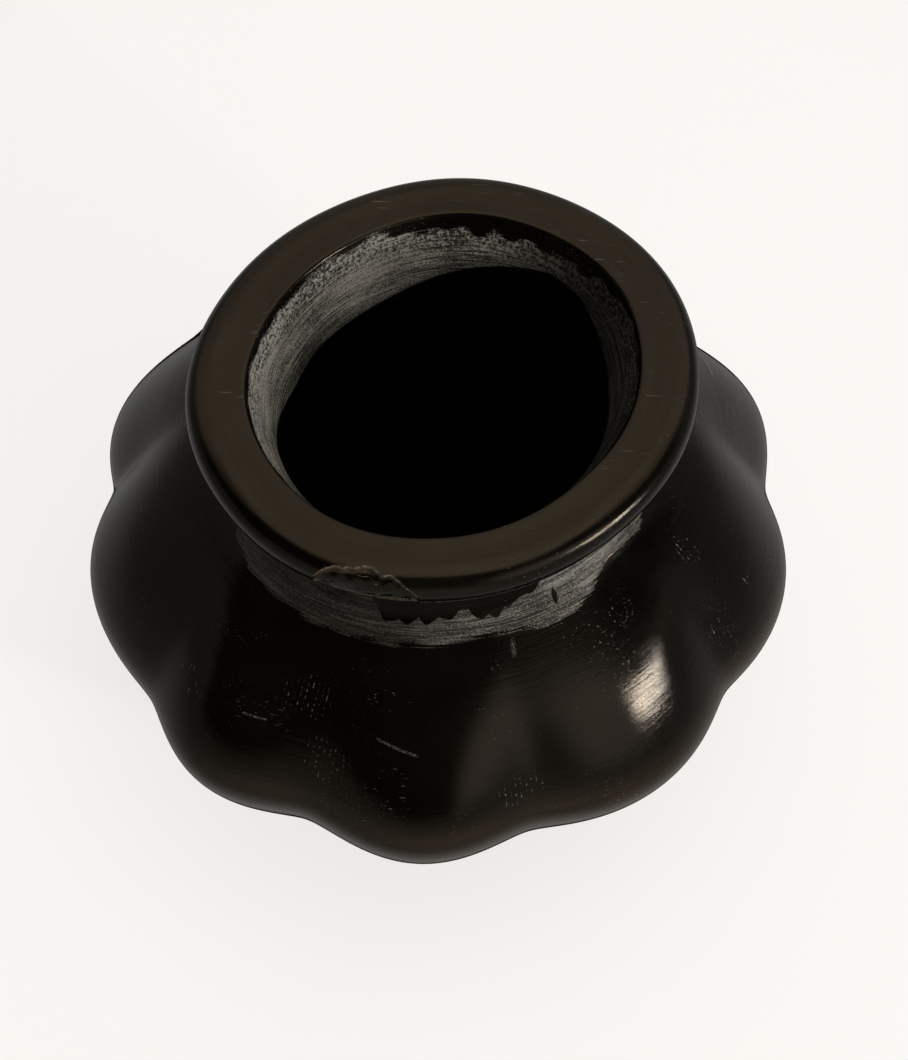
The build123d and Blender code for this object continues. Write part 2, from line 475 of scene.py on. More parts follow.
outside_marks = {
    "arc": along_rows(outer)[:, None] + outer_zero,
    "bare": outer_z - raw_edge_level(turn),
    "slip": np.minimum(outer_slip, NO_SLIP),
    "deep": NO_PAINTED_SHADE + outer_zero,
    "low": 1 - smooth_step(outer_z, *LOW_LEVELS),
    "painted_light": paleness(turn, *BAND_PAINTED_LIGHT) + outer_zero,
    "scuff": near_places(outer_z, turn, SCUFFS),
    "nick": near_places(outer_z, turn, NICKS),
}
inside_marks = {
    "arc": INSIDE_STROKES_FROM + along_rows(inner)[:, None] + inner_zero,
    "bare": inner_z - (THROAT_LEVEL - 0.4) + inner_zero,
    "slip": NO_SLIP + inner_zero,
    "deep": inner_deep,
    "low": inner_zero,
    "painted_light": paleness(turn, *MOUTH_PAINTED_LIGHT) + inner_zero,
    "scuff": inner_zero,
    "nick": inner_zero,
}


# Meshes

def add_mark(mesh, name, values):
    mark = mesh.attributes.new(name, "FLOAT", "POINT")
    mark.data.foreach_set("value", np.ascontiguousarray(values, dtype=np.float32).ravel())


def set_normals(mesh, faces, seam_faces, normals):
    """Smooth normals from the rows, but each seam face's own normal at its corners."""
    corner_vertex = np.empty(len(mesh.loops), dtype=np.int64)
    mesh.loops.foreach_get("vertex_index", corner_vertex)
    face_normal = np.empty(len(mesh.polygons) * 3)
    mesh.polygons.foreach_get("normal", face_normal)
    sizes = np.array([len(face) for face in faces])
    on_seam = np.repeat(np.array(seam_faces), sizes)
    flat_normal = np.repeat(face_normal.reshape(-1, 3), sizes, axis=0)
    corner_normal = np.where(on_seam[:, None], flat_normal, normals[corner_vertex])
    mesh.normals_split_custom_set(corner_normal.tolist())


def build_piece(name, rows, normals, marks, breaks, poles=None):
    """Closed mesh from rows of points round the jar. The rows close on themselves, or end in two poles.

    breaks are the rows after which a flat seam face follows; poles are the two end points."""
    count, columns = rows.shape[:2]
    points = rows.reshape(-1, 3)
    normals = normals.reshape(-1, 3)
    index = np.arange(count * columns).reshape(count, columns)
    faces = []
    seam_faces = []
    last = count if poles is None else count - 1
    for row in range(last):
        low = index[row]
        high = index[(row + 1) % count]
        ring = np.stack([low, np.roll(low, -1), np.roll(high, -1), high], axis=1)
        faces.extend(ring.tolist())
        seam_faces.extend([row in breaks] * columns)
    pole_marks = {key: [] for key in marks}
    if poles is not None:
        for place, (row, turned_over) in enumerate(((0, True), (count - 1, False))):
            centre = count * columns + place
            ring = index[row]
            for a, b in zip(ring, np.roll(ring, -1)):
                faces.append([centre, int(b), int(a)] if turned_over else [centre, int(a), int(b)])
                seam_faces.append(False)
            for key in marks:
                pole_marks[key].append(marks[key][row].mean())
        points = np.concatenate([points, np.array(poles)])
        normals = np.concatenate([normals, [[0, 0, -1], [0, 0, 1]]])
    mesh = bpy.data.meshes.new(name)
    mesh.from_pydata((points * MM).tolist(), [], faces)
    mesh.update()
    mesh.shade_smooth()
    for key, values in marks.items():
        add_mark(mesh, key, np.concatenate([values.ravel(), pole_marks[key]]))
    set_normals(mesh, faces, seam_faces, normals)
    piece = bpy.data.objects.new(name, mesh)
    bpy.context.scene.collection.objects.link(piece)
    return piece


outer_normal = grid_normals(outer)
inner_normal = -grid_normals(inner)


def wall_piece(name, outer_from, outer_to, inner_from, inner_to, poles=None):
    """Outside rows upward, then inside rows downward, closed by seam faces or by poles in foot and floor."""
    outside = slice(outer_from, outer_to + 1)
    inside = slice(inner_from, inner_to + 1)
    rows = np.concatenate([outer[outside], inner[inside][::-1]])
    normals = np.concatenate([outer_normal[outside], inner_normal[inside][::-1]])
    marks = {}
    for key in outside_marks:
        marks[key] = np.concatenate([outside_marks[key][outside], inside_marks[key][inside][::-1]])
    breaks = {outer_to - outer_from}
    if poles is None:
        breaks.add(len(rows) - 1)
    return build_piece(name, rows, normals, marks, breaks, poles)


# Rim coil: flat top, half-round outer edge, and the flake broken from its front

ROUND = RIM_THICKNESS / 2
RIM_CORE = RIM_RADIUS - ROUND
UNDERSIDE_ROWS = 9
ROUND_ROWS = 58
TOP_ROWS = 16
MOUTH_EDGE_ROWS = 9
RIM_FUNNEL_ROWS = 18
TOP_DISH = 0.12  # the flat top is dished by this much

# The flake: turns, and how far down the round edge its upper edge lies there, then its depth and extent
CHIP_EDGE = [
    (-118.0, 6.6), (-116.3, 4.6), (-114.2, 3.0), (-109.9, 2.25), (-107.5, 1.75), (-105.7, 1.25),
    (-103.0, 2.4), (-100.2, 2.7), (-98.3, 3.75), (-96.7, 4.85), (-94.4, 6.6),
]
NO_CHIP = 99.0
NOT_PAST = -9.0
CHIP_DEPTH = 0.75
CHIP_WALL = 0.7
CHIP_FADE = (6.5, 10.5)
CHIP_BROWN = (-107.5, -104.0)
CHIP_TURNS = (-121.0, -91.0)
CHIP_COLUMN_STEP = 0.3
OTHER_COLUMNS = 370

# Polish reaches this far down inside the mouth, and further round one turn
LIP_POLISH = 2.0
LIP_POLISH_MORE = 2.2
LIP_POLISH_TURN = 70.0
LIP_POLISH_SPREAD = (15, 50)

# Painted reflection: a pale line low on the round edge, in front only
UNDER_LINE_RUNS = (7.9, 8.3, 9.1, 9.5)
UNDER_LINE_TURN = -95.0
UNDER_LINE_SPREAD = (65, 90)
UNDER_LINE_STRENGTH = 0.4


def rim_section():
    """Radius, level and run of the rim's section: underside, round edge, flat top, mouth edge and funnel.

    The run counts millimetres down the round edge from the flat top, negative on the flat top and, further
    on, down the funnel. The first row is the funnel's lower end."""
    section = []
    inside = MOUTH_RADIUS - FUNNEL_SLOPE * RIM_THICKNESS
    half_round = math.pi * ROUND
    for r in np.linspace(inside, RIM_CORE, UNDERSIDE_ROWS + 1)[:-1]:
        section.append((r, RIM_SEAM, half_round + RIM_CORE - r))
    for swing in np.linspace(math.pi, 0, ROUND_ROWS):
        z = HEIGHT - ROUND + ROUND * math.cos(swing)
        section.append((RIM_CORE + ROUND * math.sin(swing), z, swing * ROUND))
    funnel_turn = math.atan2(RIM_THICKNESS, FUNNEL_SLOPE * RIM_THICKNESS)
    set_back = MOUTH_EDGE_ROUND * math.tan((math.pi - funnel_turn) / 2)
    flat_end = MOUTH_RADIUS + set_back
    for r in np.linspace(RIM_CORE, flat_end, TOP_ROWS)[1:-1]:
        section.append((r, HEIGHT, r - RIM_CORE))
    for swing in np.linspace(0, funnel_turn, MOUTH_EDGE_ROWS):
        r = flat_end - MOUTH_EDGE_ROUND * math.sin(swing)
        z = HEIGHT - MOUTH_EDGE_ROUND + MOUTH_EDGE_ROUND * math.cos(swing)
        section.append((r, z, flat_end - RIM_CORE - MOUTH_EDGE_ROUND * swing))
    end_r, end_z, end_run = section[-1]
    funnel_length = math.hypot(end_r - inside, end_z - RIM_SEAM)
    for share in np.linspace(0, 1, RIM_FUNNEL_ROWS)[1:-1]:
        r = end_r + (inside - end_r) * share
        section.append((r, end_z + (RIM_SEAM - end_z) * share, end_run - share * funnel_length))
    section[0] = (inside, RIM_SEAM, end_run - funnel_length)
    radius, level, run = np.array(section).T[:, :, None]
    return radius, level, run, flat_end


def rim_turns():
    """Turns round the rim, close together where the flake is broken away."""
    fine = np.arange(*CHIP_TURNS, CHIP_COLUMN_STEP)
    coarse = np.linspace(CHIP_TURNS[1], CHIP_TURNS[0] + 360, OTHER_COLUMNS, endpoint=False)
    return np.radians(np.concatenate([fine, coarse]))[None, :]


def past_chip_edge(radius, level, run, around):
    """Millimetres down the round edge past the flake's upper edge."""
    edge = along_edge(around, CHIP_EDGE, NO_CHIP)
    edge = edge + hand_waves(around, 0.0, seed=47, count=12, most_turns=160, size=0.12)
    on_round = (radius > RIM_CORE - 0.5) & (level > RIM_SEAM + 0.02)
    return np.where(on_round, run - edge, NOT_PAST)


def rim_rows(radius, level, run, around, past, flat_end):
    """Points of the rim in millimetres: uneven and dished by hand, with the flake broken away."""
    wave_up = hand_waves(around, 0.0, seed=41, count=6, most_turns=5, size=0.14)
    wave_out = hand_waves(around, 0.0, seed=43, count=8, most_turns=7, size=0.16)
    wave_out = wave_out * smooth_step(level, RIM_SEAM, RIM_SEAM + 3.0)
    on_top = smooth_step(level, RIM_SEAM + 0.5, HEIGHT - 1.0)
    dish = TOP_DISH * np.sin(np.clip((radius - flat_end) / (RIM_CORE - flat_end), 0, 1) * math.pi)
    dish = np.where(level > HEIGHT - 0.01, dish, 0.0)
    broken = smooth_step(past, -0.12, CHIP_WALL) * (1 - smooth_step(run, *CHIP_FADE))
    ragged = hand_waves(around, run, seed=53, count=14, most_turns=120, size=0.09, wave_levels=3.0)
    depth = broken * (CHIP_DEPTH + ragged)
    swing = np.clip(run / ROUND, 0, math.pi)
    outward = np.where(run > 0, np.sin(swing), 0.0)
    upward = np.where(run > 0, np.cos(swing), 1.0)
    hand_radius = radius + wave_out - depth * outward
    hand_level = level + (wave_up - dish) * on_top - depth * upward
    hand_radius, hand_level, around = np.broadcast_arrays(hand_radius, hand_level, around)
    across, away = made_oval(hand_radius, around, 1.0)
    return np.stack([across, away, hand_level], axis=-1)


def rim_marks(level, run, around, past, flat_end, hand_level):
    """Marks of the rim: the brown flat top, partly its own tone and partly a painted reflection; the raw
    funnel and its painted light; the painted shade inside; and the pale lines, a painted highlight at the
    flake and a painted reflection low on the edge.
    """
    zero = np.zeros_like(hand_level)
    around = around + zero
    mouth_run = flat_end - RIM_CORE
    in_mouth = np.where(level < HEIGHT, mouth_run - run, -5.0)
    near_lip_turn = 1 - smooth_step(turn_gap(around, LIP_POLISH_TURN), *LIP_POLISH_SPREAD)
    polished_lip = LIP_POLISH + LIP_POLISH_MORE * near_lip_turn
    bare = np.where(run < mouth_run, in_mouth - polished_lip, -4.0)
    bare = bare + hand_waves(around, 0.0, seed=61, count=16, most_turns=40, size=0.5)
    fresh = smooth_step(past, -0.1, 0.1) * (1 - smooth_step(past, 0.9, 1.5))
    fresh = fresh * (1 - smooth_step(signed_degrees(around), *CHIP_BROWN))
    # A painted highlight along the flake's upper edge
    chip_line = smooth_step(past, -0.32, -0.1) * (1 - smooth_step(past, 0.0, 0.22))
    # A painted reflection low on the round edge
    under_line = smooth_step(run, *UNDER_LINE_RUNS[:2]) * (1 - smooth_step(run, *UNDER_LINE_RUNS[2:]))
    under_line = under_line * (1 - smooth_step(turn_gap(around, UNDER_LINE_TURN), *UNDER_LINE_SPREAD))
    # The flat top's brown, partly its own tone and partly a painted reflection, ends along this edge
    top_edge = run + hand_waves(around, 0.0, seed=67, count=10, most_turns=12, size=0.12)
    top = 1 - smooth_step(top_edge, 1.9, 2.7)
    return {
        "top": np.where(run < mouth_run - 0.6, 0.0, top),
        "arc": RIM_STROKES_FROM + run + zero,
        "bare": bare,
        "slip": NO_SLIP + zero,
        "deep": np.where(in_mouth > 0, below_painted_shadow(hand_level, around), NO_PAINTED_SHADE),
        "chip": fresh,
        "line": np.maximum(chip_line, UNDER_LINE_STRENGTH * under_line),
        "painted_light": paleness(around, *MOUTH_PAINTED_LIGHT),
    }


def rim_piece(name):
    radius, level, run, flat_end = rim_section()
    around = rim_turns()
    past = past_chip_edge(radius, level, run, around)
    rows = rim_rows(radius, level, run, around, past, flat_end)
    marks = rim_marks(level, run, around, past, flat_end, rows[:, :, 2])
    return build_piece(name, rows, grid_normals_closed(rows), marks, set(range(UNDERSIDE_ROWS)))


# Materials

class Tree:
    """Short ways to add and join nodes of one material or world."""

    def __init__(self, owner):
        owner.use_nodes = True
        self.nodes = owner.node_tree.nodes
        self.links = owner.node_tree.links
        self.nodes.clear()

    def add(self, kind, inputs=None, **settings):
        node = self.nodes.new(kind)
        for key, value in settings.items():
            setattr(node, key, value)
        for key, value in (inputs or {}).items():
            if isinstance(value, bpy.types.NodeSocket):
                self.links.new(value, node.inputs[key])
            else:
                node.inputs[key].default_value = value
        return node

    def mark(self, name):
        return self.add("ShaderNodeAttribute", attribute_name=name).outputs["Fac"]

    def math(self, operation, a, b=0.0, c=0.0):
        return self.add("ShaderNodeMath", {0: a, 1: b, 2: c}, operation=operation).outputs[0]

    def times(self, a, b):
        return self.math("MULTIPLY", a, b)

    def times_plus(self, a, b, c):
        return self.math("MULTIPLY_ADD", a, b, c)

    def larger(self, a, b):
        return self.math("MAXIMUM", a, b)

    def ramp(self, value, low, high, to_low=0.0, to_high=1.0):
        inputs = {"Value": value, "From Min": low, "From Max": high, "To Min": to_low, "To Max": to_high}
        return self.add("ShaderNodeMapRange", inputs, interpolation_type="SMOOTHSTEP").outputs["Result"]

    def noise(self, vector, scale, detail=3.0, roughness=0.55, distortion=0.0):
        inputs = {"Vector": vector, "Scale": scale, "Detail": detail, "Roughness": roughness,
                  "Distortion": distortion}
        return self.add("ShaderNodeTexNoise", inputs).outputs["Fac"]

    def stretched(self, vector, scale, turn=(0.0, 0.0, 0.0)):
        inputs = {"Vector": vector, "Scale": scale, "Rotation": turn}
        return self.add("ShaderNodeMapping", inputs).outputs["Vector"]

    def blend(self, factor, a, b):
        """Colour between a and b."""
        node = self.add("ShaderNodeMix", data_type="RGBA")
        for socket, value in ((node.inputs[0], factor), (node.inputs[6], a), (node.inputs[7], b)):
            if isinstance(value, bpy.types.NodeSocket):
                self.links.new(value, socket)
            else:
                socket.default_value = value if isinstance(value, float) else (*value, 1.0)
        return node.outputs[2]

    def mix(self, factor, a, b):
        """Number between a and b."""
        node = self.add("ShaderNodeMix", {0: factor, 2: a, 3: b}, data_type="FLOAT")
        return node.outputs[0]


BLACK_DEEP = (0.0009, 0.0008, 0.0006)
BLACK_WARM = (0.0026, 0.0022, 0.0017)
# Brown of the rim's flat top: partly its own tone, partly a painted reflection of the ceiling
BROWN_DEEP = (0.0118, 0.0090, 0.0058)
BROWN_WARM = (0.0180, 0.0140, 0.0092)
# Painted reflection of a brown table top, low on the belly
LOW_REFLECTION_DEEP = (0.0092, 0.0064, 0.0036)
LOW_REFLECTION_WARM = (0.0145, 0.0101, 0.0057)
RAW_DEEP = (0.0075, 0.0072, 0.0064)
RAW_PALE = (0.128, 0.122, 0.106)
BROKEN = (0.030, 0.021, 0.013)
# Painted highlight along the flake's edge and painted reflection low on the rim's round edge
PAINTED_EDGE_LIGHT = (0.150, 0.120, 0.085)
DUST = (0.20, 0.19, 0.165)
# Painted shade inside the mouth, below the painted shadow's edge
PAINTED_SHADE = (0.0012, 0.0010, 0.0008)

# Brush and burnishing strokes run round the jar: waves per millimetre across, away and up the wall
WIDE_STROKES = (0.05, 0.05, 0.55)
FINE_STROKES = (0.09, 0.09, 2.2)
HAIR_STROKES = (0.14, 0.14, 6.0)

# Scratches run three ways, and scuffs are dashes: waves per millimetre along and across them
SCRATCH_STRETCH = (0.16, 4.2, 4.2)
SCRATCH_TURNS = ((0.3, 0.2, 0.5), (1.1, -0.4, 1.7), (-0.5, 0.9, 2.6))
DASH_STRETCH = (1.3, 1.1, 1.0)

# Other markings, in waves or cells per millimetre
CLOUD_SCALE = 0.045
GRAIN_SCALE = 3.2
FLECK_SCALE = 1.7
DUST_SCALE = 0.8
SCRATCH_PATCH_SCALE = 0.07
SCUFF_PATCH_SCALE = 0.35
SCUFF_RADIUS = 57.0  # millimetres round the jar are counted at this radius
SCUFF_PITCH = 6.6  # radians of the comb to a millimetre, so its lines are about 0.95 mm apart

# Roughness, and how strongly worn places show
ROUGH_RAW = 0.72
ROUGH_SHADE_AND_BROKEN = 0.8
ROUGH_WORN = 0.7
SCRATCH_SHARE = 0.45
SCUFF_SHARE = 0.55
RUBBED_SHARE = 0.8

# Relief in millimetres of the strokes, the grain, the raw clay and the scratches
WIDE_RELIEF = 0.032
FINE_RELIEF = 0.016
HAIR_RELIEF = 0.005
GRAIN_RELIEF = 0.009
RAW_RELIEF = 0.13
WORN_RELIEF = -0.02

CLAY_IOR = 1.32
GLOSS_TINT = (1.0, 0.78, 0.56, 1.0)


class Clay(Tree):
    """Nodes of one clay, with the places, strokes and grain that its colour, gloss and relief share."""

    def __init__(self, material):
        super().__init__(material)
        metres = self.add("ShaderNodeTexCoord").outputs["Object"]
        self.place = self.stretched(metres, (1 / MM, 1 / MM, 1 / MM))
        self.arc = self.mark("arc")
        self.x, self.y, self.level = self.add("ShaderNodeSeparateXYZ", {0: self.place}).outputs
        wall = self.add("ShaderNodeCombineXYZ", {0: self.x, 1: self.y, 2: self.arc}).outputs[0]
        self.wide_stroke = self.noise(self.stretched(wall, WIDE_STROKES), 1.0, 4.0, 0.6, 0.3)
        self.fine_stroke = self.noise(self.stretched(wall, FINE_STROKES), 1.0, 4.0, 0.65, 0.2)
        self.hair_stroke = self.noise(self.stretched(wall, HAIR_STROKES), 1.0, 3.0, 0.6, 0.15)
        self.cloud = self.noise(self.place, CLOUD_SCALE, 4.0, 0.55)
        self.grain = self.noise(self.place, GRAIN_SCALE, 3.0, 0.65)

    def raw_zone(self, slipped):
        """Where the clay is raw. The edge is dragged out along the brush strokes."""
        ragged = self.times_plus(self.fine_stroke, 2.8, -2.0)
        ragged = self.times_plus(self.grain, 1.2, ragged)
        bare = self.ramp(self.math("ADD", self.mark("bare"), ragged), -0.35, 0.45)
        return self.times(bare, self.math("SUBTRACT", 1.0, slipped))

    def dust(self):
        """Small specks in some of the scattered cells, each of its own size and strength."""
        cells = self.add("ShaderNodeTexVoronoi", {"Vector": self.place, "Scale": DUST_SCALE})
        chance, size, strength = self.add("ShaderNodeSeparateColor", {0: cells.outputs["Color"]}).outputs
        speck_size = self.times_plus(size, 0.055, 0.015)
        speck = self.math("LESS_THAN", cells.outputs["Distance"], speck_size)
        speck = self.times(speck, self.times_plus(strength, 0.36, 0.06))
        return self.times(speck, self.ramp(chance, 0.62, 0.64))

    def scratches(self):
        """Thin crests of noise drawn out one way, in patches."""
        patch = self.ramp(self.noise(self.place, SCRATCH_PATCH_SCALE, 2.0, 0.5), 0.50, 0.68)
        scratch = 0.0
        for turn_by in SCRATCH_TURNS:
            drawn = self.stretched(self.place, SCRATCH_STRETCH, turn_by)
            crest = self.ramp(self.noise(drawn, 1.0, 1.0, 0.4), 0.735, 0.78)
            scratch = self.larger(crest, scratch)
        return self.times(scratch, self.times(patch, SCRATCH_SHARE))

    def scuffs(self):
        """Upright lines of dashes, close together, where the jar was rubbed, and single scraped lines."""
        around = self.math("ARCTAN2", self.y, self.x)
        across = self.times(around, SCUFF_RADIUS)
        wobble = self.times_plus(self.cloud, 3.0, across)
        comb = self.ramp(self.math("SINE", self.times(wobble, SCUFF_PITCH)), 0.74, 0.98)
        dash_place = self.add("ShaderNodeCombineXYZ", {0: across, 1: self.arc, 2: 0.0}).outputs[0]
        dashes = self.noise(self.stretched(dash_place, DASH_STRETCH), 1.0, 2.0, 0.6)
        dashes = self.ramp(dashes, 0.52, 0.68)
        spread = self.noise(self.place, SCUFF_PATCH_SCALE, 2.0, 0.6)
        near_scuff = self.math("ADD", self.mark("scuff"), -1.25)
        scuff_edge = self.times_plus(spread, 1.6, near_scuff)
        scuff = self.times(self.ramp(scuff_edge, 0.0, 0.6), self.times(comb, dashes))
        rubbed = self.mark("nick")
        for scrape in SCRAPES:
            rubbed = self.larger(rubbed, self.scraped_line(around, *scrape))
        rubbed = self.times(rubbed, self.ramp(self.grain, 0.42, 0.60))
        return self.larger(scuff, self.times(rubbed, RUBBED_SHARE))

    def scraped_line(self, around, middle, level, half_turn, rise, half_width):
        """One scraped line, fading out over the last fifth of its length."""
        along = self.math("ADD", around, -math.radians(middle))
        line_level = self.times_plus(along, math.degrees(rise), level)
        off_line = self.math("ABSOLUTE", self.math("SUBTRACT", self.level, line_level))
        off_middle = self.math("ABSOLUTE", along)
        past_end = self.ramp(off_middle, math.radians(half_turn * 0.8), math.radians(half_turn))
        return self.math("SUBTRACT", self.ramp(off_line, half_width, half_width * 0.3), past_end)

    def burnished_colour(self):
        """Smoke black; browner on the rim's flat top, partly its own tone and partly a painted reflection of
        the ceiling; and faintly browner low on the belly, a painted reflection of a table top.
        """
        black = self.blend(self.ramp(self.cloud, 0.35, 0.7), BLACK_DEEP, BLACK_WARM)
        uneven = self.mix(0.5, self.cloud, self.wide_stroke)
        top_tone_and_reflection = self.blend(self.ramp(uneven, 0.32, 0.68), BROWN_DEEP, BROWN_WARM)
        low_painted_reflection = self.blend(self.ramp(self.wide_stroke, 0.3, 0.72), LOW_REFLECTION_DEEP, LOW_REFLECTION_WARM)
        return self.blend(self.mark("low"), self.blend(self.mark("top"), black, top_tone_and_reflection), low_painted_reflection)

    def raw_tone(self, stipple):
        """Light and dark of the brushed raw clay. Stipple adds flecks, most at the edge of the raw zone."""
        tone = self.times(self.fine_stroke, 0.25)
        tone = self.times_plus(self.hair_stroke, 0.55, tone)
        tone = self.times_plus(self.wide_stroke, 0.2, tone)
        tone = self.math("ADD", tone, self.times_plus(self.grain, 0.5, -0.43))
        tone = self.times_plus(self.cloud, 0.36, tone)
        flecks = self.math("ADD", self.noise(self.place, FLECK_SCALE, 4.0, 0.7), -0.5)
        stippled = self.times(flecks, self.ramp(self.mark("bare"), 0.5, 6.0, stipple, 0.0))
        return self.math("ADD", tone, stippled)

    def raw_colour(self, raw_tone):
        raw_clay = self.blend(self.ramp(raw_tone, 0.40, 0.66), RAW_DEEP, RAW_PALE)
        # The raw clay is scaled by its brightness mark, which carries painted light
        inputs = {0: raw_clay, "Scale": self.mark("painted_light")}
        return self.add("ShaderNodeVectorMath", inputs, operation="SCALE").outputs["Vector"]

    def gloss(self, deep, slipped):
        """Specular level. It fades at a glancing look, where the gloss of a glaze would flare up."""
        facing = self.add("ShaderNodeLayerWeight", {"Blend": 0.5}).outputs["Facing"]
        level = self.ramp(facing, 0.05, 0.40, 0.5, 0.12)
        level = self.times(level, self.ramp(facing, 0.50, 0.91, 1.0, 0.0))
        level = self.times(level, self.times_plus(deep, -0.95, 1.0))
        return self.times(level, self.times_plus(slipped, -0.6, 1.0))


def clay_material(name, polish, stipple=0.0):
    """Smoke-black clay: stone burnished, with a wiped raw zone, broken edges, dust and fine scratches."""
    material = bpy.data.materials.new(name)
    clay = Clay(material)
    slipped = clay.ramp(clay.mark("slip"), 0.14, -0.14)
    bare = clay.raw_zone(slipped)
    # deep: painted shade inside the mouth, black, rough and without gloss
    deep = clay.ramp(clay.mark("deep"), -0.2, 0.3)
    chip = clay.mark("chip")
    # line: painted highlight and painted reflection on the rim's edges
    line = clay.times(clay.mark("line"), clay.ramp(clay.grain, 0.36, 0.60))
    scratch = clay.scratches()
    scuff = clay.scuffs()
    worn = clay.larger(clay.dust(), scratch)
    worn = clay.larger(worn, clay.times(scuff, SCUFF_SHARE))

    raw_tone = clay.raw_tone(stipple)
    colour = clay.blend(bare, clay.burnished_colour(), clay.raw_colour(raw_tone))
    colour = clay.blend(chip, colour, BROKEN)
    colour = clay.blend(line, colour, PAINTED_EDGE_LIGHT)
    colour = clay.blend(worn, colour, DUST)
    colour = clay.blend(deep, colour, PAINTED_SHADE)

    rough = clay.times_plus(clay.fine_stroke, 0.10, polish - 0.05)
    rough = clay.math("ADD", rough, clay.ramp(clay.cloud, 0.3, 0.75, -0.02, 0.03))
    rough = clay.mix(bare, rough, ROUGH_RAW)
    rough = clay.mix(clay.larger(deep, chip), rough, ROUGH_SHADE_AND_BROKEN)
    rough = clay.mix(worn, rough, ROUGH_WORN)

    wide_relief = clay.times(clay.wide_stroke, WIDE_RELIEF)
    relief = clay.times_plus(clay.fine_stroke, FINE_RELIEF, wide_relief)
    relief = clay.times_plus(clay.hair_stroke, HAIR_RELIEF, relief)
    relief = clay.times_plus(clay.grain, GRAIN_RELIEF, relief)
    height = clay.mix(bare, relief, clay.times(raw_tone, RAW_RELIEF))
    height = clay.times_plus(clay.larger(scratch, scuff), WORN_RELIEF, height)
    bump = clay.add("ShaderNodeBump", {"Strength": 1.0, "Distance": MM, "Height": height})

    shader = clay.add("ShaderNodeBsdfPrincipled", {
        "Base Color": colour, "Roughness": rough, "Normal": bump.outputs["Normal"],
        "IOR": CLAY_IOR, "Specular IOR Level": clay.gloss(deep, slipped), "Specular Tint": GLOSS_TINT})
    out = clay.add("ShaderNodeOutputMaterial")
    clay.links.new(shader.outputs[0], out.inputs["Surface"])
    return material


BODY_POLISH = 0.11
NECK_POLISH = 0.12
RIM_POLISH = 0.17
RIM_STIPPLE = 1.5
body_clay = clay_material("burnished_body", BODY_POLISH)
neck_clay = clay_material("scraped_neck", NECK_POLISH)
rim_clay = clay_material("burnished_rim", RIM_POLISH, RIM_STIPPLE)

# Pieces, one for every node of the frame

pat_poles = [(0.0, 0.0, 0.0), (0.0, 0.0, FLOOR_THICKNESS)]
pat = wall_piece("base_pat_clay", 0, seam_rows[0], 0, inner_seam_rows[0], pat_poles)
made = {"base_pat": (pat, "burnished_body", body_clay)}
for number in range(WALL_COURSES):
    coil = wall_piece("wall_coil_%d_clay" % (number + 1), seam_rows[number], seam_rows[number + 1],
                      inner_seam_rows[number], inner_seam_rows[number + 1])
    made["wall_coil_%d" % (number + 1)] = (coil, "burnished_body", body_clay)
neck = wall_piece("neck_coil_clay", seam_rows[-1], len(outer) - 1, inner_seam_rows[-1], len(inner) - 1)
made["neck_coil"] = (neck, "scraped_neck", neck_clay)
made["rim_coil"] = (rim_piece("rim_coil_clay"), "burnished_rim", rim_clay)

for node, (piece, slot, clay) in made.items():
    piece.data.materials.append(clay)
    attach(piece, "root")
    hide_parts(node)

# Floor: pale paper round the jar, duller further off, a painted pool of light

FLOOR_HALF = 4.0
FLOOR_PALENESS = 0.78
POOL_EDGES = (0.17, 0.45)
PAPER_TONES = ((0.955, 0.945, 0.92), (0.975, 0.965, 0.94))
FAR_TONE = (0.52, 0.505, 0.475)


def floor_material():
    """Paper that is mostly its plain colour to the eye, and for the rest lit, for a soft shadow."""
    material = bpy.data.materials.new("floor_paint")
    tree = Tree(material)
    place = tree.add("ShaderNodeTexCoord").outputs["Object"]
    from_jar = tree.add("ShaderNodeVectorMath", {0: place}, operation="LENGTH").outputs["Value"]
    tone = tree.blend(tree.noise(place, 6.0, 3.0), *PAPER_TONES)
    # The paper is paler round the jar: a painted pool of light
    tone = tree.blend(tree.ramp(from_jar, *POOL_EDGES), tone, FAR_TONE)
    lit = tree.add("ShaderNodeBsdfPrincipled", {
        "Base Color": tone, "Roughness": 0.9, "Specular IOR Level": 0.1})
    plain = tree.add("ShaderNodeEmission", {"Color": tone, "Strength": 1.0})
    rays = tree.add("ShaderNodeLightPath").outputs
    looked_at = tree.larger(rays["Is Camera Ray"], rays["Is Glossy Ray"])
    looked_at = tree.larger(looked_at, rays["Is Transmission Ray"])
    plain_share = tree.ramp(from_jar, *POOL_EDGES, FLOOR_PALENESS, 1.0)
    mixed = tree.add("ShaderNodeMixShader", {
        0: tree.times(looked_at, plain_share), 1: lit.outputs[0], 2: plain.outputs[0]})
    out = tree.add("ShaderNodeOutputMaterial")
    tree.links.new(mixed.outputs[0], out.inputs["Surface"])
    return material


floor_mesh = bpy.data.meshes.new("floor")
floor_corners = [(-FLOOR_HALF, -FLOOR_HALF, 0), (FLOOR_HALF, -FLOOR_HALF, 0),
                 (FLOOR_HALF, FLOOR_HALF, 0), (-FLOOR_HALF, FLOOR_HALF, 0)]
floor_mesh.from_pydata(floor_corners, [], [(0, 1, 2, 3)])
floor = bpy.data.objects.new("floor", floor_mesh)
bpy.context.scene.collection.objects.link(floor)
floor.data.materials.append(floor_material())


# Light

JAR_MIDDLE = (0.0, 0.0, 0.06)
LAMP_REACH = 1.2
WARM = (1.0, 0.97, 0.91)
COOL = (0.97, 1.0, 1.04)


def round_jar(turn, rise):
    """Place of a lamp at a turn and rise in degrees, seen from the jar."""
    turn = math.radians(turn)
    rise = math.radians(rise)
    return (LAMP_REACH * math.cos(rise) * math.cos(turn), LAMP_REACH * math.cos(rise) * math.sin(turn),
            JAR_MIDDLE[2] + LAMP_REACH * math.sin(rise))


